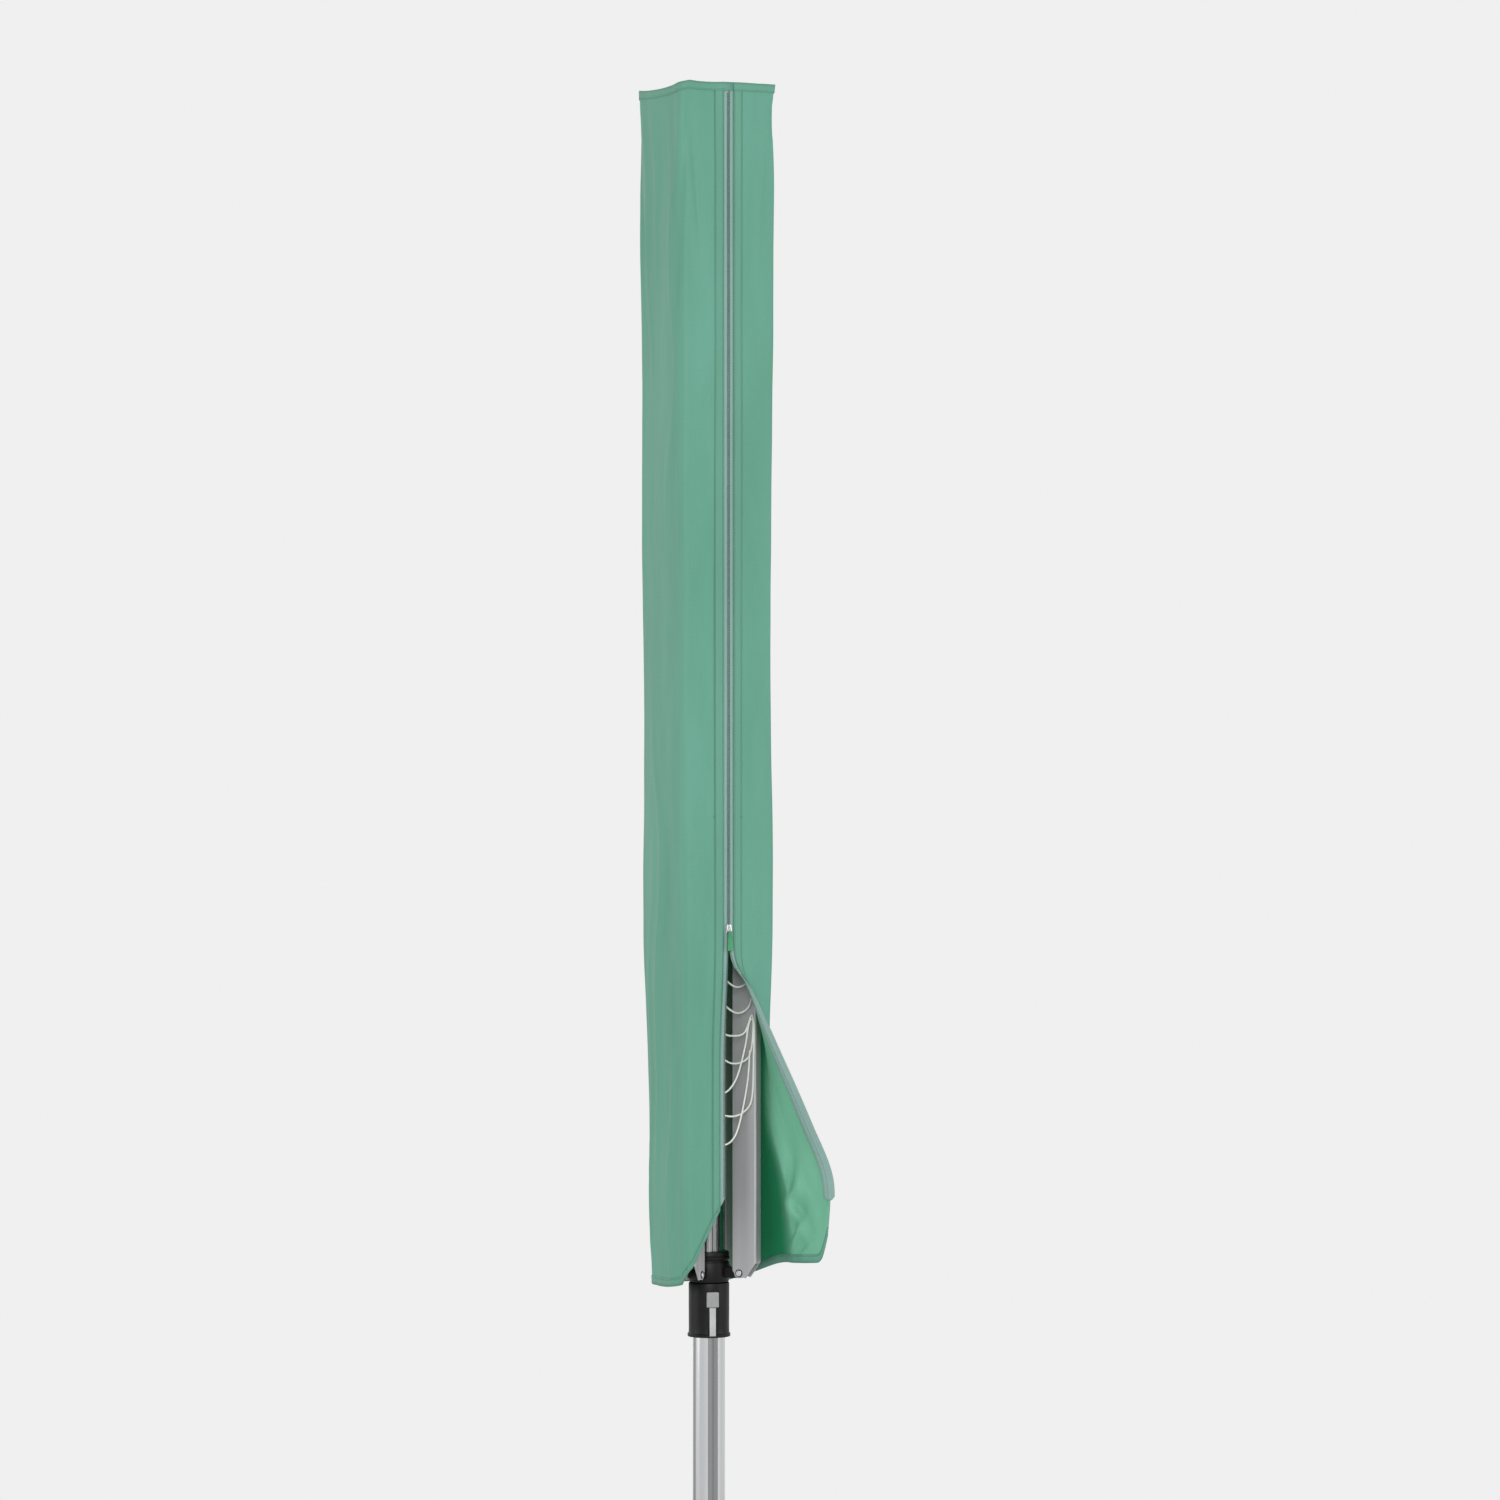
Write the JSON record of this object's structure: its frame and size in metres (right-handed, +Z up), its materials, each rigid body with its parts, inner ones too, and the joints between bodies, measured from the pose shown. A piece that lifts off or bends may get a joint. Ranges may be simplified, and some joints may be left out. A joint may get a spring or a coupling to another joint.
{
  "type": "rotary clothesline",
  "caption": "Rotary clothesline with arms folded up along a telescopic mast under a zipped fabric cover, its arms opening outwards on a sliding hub.",
  "frame": {"origin": "middle of the mast's foot, on the underside of its plug", "axes": "+Z up the mast; the arms lie on +X, +Y, -X and -Y, and the cover's zip faces between -Y and +X"},
  "size_m": [0.3216, 0.2154, 2.62],
  "materials": {
    "mast_tube": "drawn fluted tube, satin anodised",
    "arm_alloy": "extruded channel, satin anodised",
    "black_plastic": "moulded, low sheen",
    "grey_plastic": "moulded, satin",
    "steel": "zinc plated",
    "line_sheath": "smooth sheathed cord",
    "cover_cloth": "coated woven polyester",
    "zip_tape": "woven tape with a coil",
    "green_plastic": "moulded, satin"
  },
  "bodies": {
    "lower_mast": {"lower_mast_tube": "mast_tube", "foot_plug": "black_plastic", "guide_bush": "black_plastic", "mast_collar": "black_plastic", "latch_strip": "grey_plastic"},
    "latch_button": {"latch_button": "grey_plastic"},
    "lift_carrier": {"lift_bearing": "black_plastic"},
    "upper_mast": {"upper_mast_tube": "mast_tube", "top_hub": "black_plastic", "mast_cap": "black_plastic"},
    "strut_1": {"strut_1": "arm_alloy", "top_pin_1": "steel"},
    "arm_1": {"arm_1": "arm_alloy", "foot_bolt_1": "steel", "pivot_pin_1": "steel", "tip_cap_1": "black_plastic", "line_1": "line_sheath"},
    "strut_2": {"strut_2": "arm_alloy", "top_pin_2": "steel"},
    "arm_2": {"arm_2": "arm_alloy", "foot_bolt_2": "steel", "pivot_pin_2": "steel", "tip_cap_2": "black_plastic", "line_2": "line_sheath"},
    "strut_3": {"strut_3": "arm_alloy", "top_pin_3": "steel"},
    "arm_3": {"arm_3": "arm_alloy", "foot_bolt_3": "steel", "pivot_pin_3": "steel", "tip_cap_3": "black_plastic", "line_3": "line_sheath"},
    "strut_4": {"strut_4": "arm_alloy", "top_pin_4": "steel"},
    "arm_4": {"arm_4": "arm_alloy", "foot_bolt_4": "steel", "pivot_pin_4": "steel", "tip_cap_4": "black_plastic", "line_4": "line_sheath"},
    "runner": {"runner_hub": "black_plastic"},
    "cover": {"cover_shell": "cover_cloth", "cover_top": "cover_cloth", "zip_tape_left": "zip_tape", "zip_tape_right": "zip_tape"},
    "zip_slider": {"zip_slider": "steel"},
    "zip_pull": {"zip_pull": "green_plastic"}
  },
  "joints": [
    {"name": "height_slide", "type": "slide", "parent": "lower_mast", "child": "lift_carrier", "axis": [0, 0, 1], "range_m": [0, 0.45]},
    {"name": "mast_spin", "type": "hinge", "parent": "lift_carrier", "child": "upper_mast", "pos_m": [0, 0, 0.1], "axis": [0, 0, 1], "continuous": true},
    {"name": "latch_press", "type": "slide", "parent": "lower_mast", "child": "latch_button", "axis": [-0.5446, 0.8387, 0], "range_m": [0, 0.002], "stiffness_N_per_m": 600},
    {"name": "arms_open", "type": "hinge", "parent": "upper_mast", "child": "strut_1", "pos_m": [0.0546, 0, 2.22], "axis": [0, -1, 0], "range_deg": [0, 62], "deforming": ["cover_shell", "cover_top", "zip_tape_left", "zip_tape_right"]},
    {"name": "arm_hinge_1", "type": "hinge", "parent": "strut_1", "child": "arm_1", "pos_m": [0.0546, 0, 1.5], "axis": [0, -1, 0], "range_deg": [-124, 0]},
    {"name": "strut_hinge_2", "type": "hinge", "parent": "upper_mast", "child": "strut_2", "pos_m": [0, 0.0546, 2.22], "axis": [1, 0, 0], "range_deg": [0, 62]},
    {"name": "arm_hinge_2", "type": "hinge", "parent": "strut_2", "child": "arm_2", "pos_m": [0, 0.0546, 1.5], "axis": [1, 0, 0], "range_deg": [-124, 0]},
    {"name": "strut_hinge_3", "type": "hinge", "parent": "upper_mast", "child": "strut_3", "pos_m": [-0.0546, 0, 2.22], "axis": [0, 1, 0], "range_deg": [0, 62]},
    {"name": "arm_hinge_3", "type": "hinge", "parent": "strut_3", "child": "arm_3", "pos_m": [-0.0546, 0, 1.5], "axis": [0, 1, 0], "range_deg": [-124, 0]},
    {"name": "strut_hinge_4", "type": "hinge", "parent": "upper_mast", "child": "strut_4", "pos_m": [0, -0.0546, 2.22], "axis": [-1, 0, 0], "range_deg": [0, 62]},
    {"name": "arm_hinge_4", "type": "hinge", "parent": "strut_4", "child": "arm_4", "pos_m": [0, -0.0546, 1.5], "axis": [-1, 0, 0], "range_deg": [-124, 0]},
    {"name": "runner_hinge", "type": "hinge", "parent": "arm_1", "child": "runner", "pos_m": [0.0546, 0, 0.78], "axis": [0, -1, 0], "range_deg": [0, 62]},
    {"name": "cover_lift", "type": "slide", "parent": "upper_mast", "child": "cover", "axis": [0, 0, 1], "range_m": [0, 1.95]},
    {"name": "zip_slide", "type": "slide", "parent": "cover", "child": "zip_slider", "axis": [0, 0, 1], "range_m": [0, 1.26]},
    {"name": "pull_swing", "type": "hinge", "parent": "zip_slider", "child": "zip_pull", "pos_m": [0.06017, -0.06017, 1.3135], "axis": [-0.7071, -0.7071, 0], "range_deg": [0, 150]}
  ],
  "couplings": [
    {"joint": "arm_hinge_1", "follows": "arms_open", "ratio": -2},
    {"joint": "strut_hinge_2", "follows": "arms_open", "ratio": 1},
    {"joint": "arm_hinge_2", "follows": "arms_open", "ratio": -2},
    {"joint": "strut_hinge_3", "follows": "arms_open", "ratio": 1},
    {"joint": "arm_hinge_3", "follows": "arms_open", "ratio": -2},
    {"joint": "strut_hinge_4", "follows": "arms_open", "ratio": 1},
    {"joint": "arm_hinge_4", "follows": "arms_open", "ratio": -2},
    {"joint": "runner_hinge", "follows": "arms_open", "ratio": 1}
  ]
}
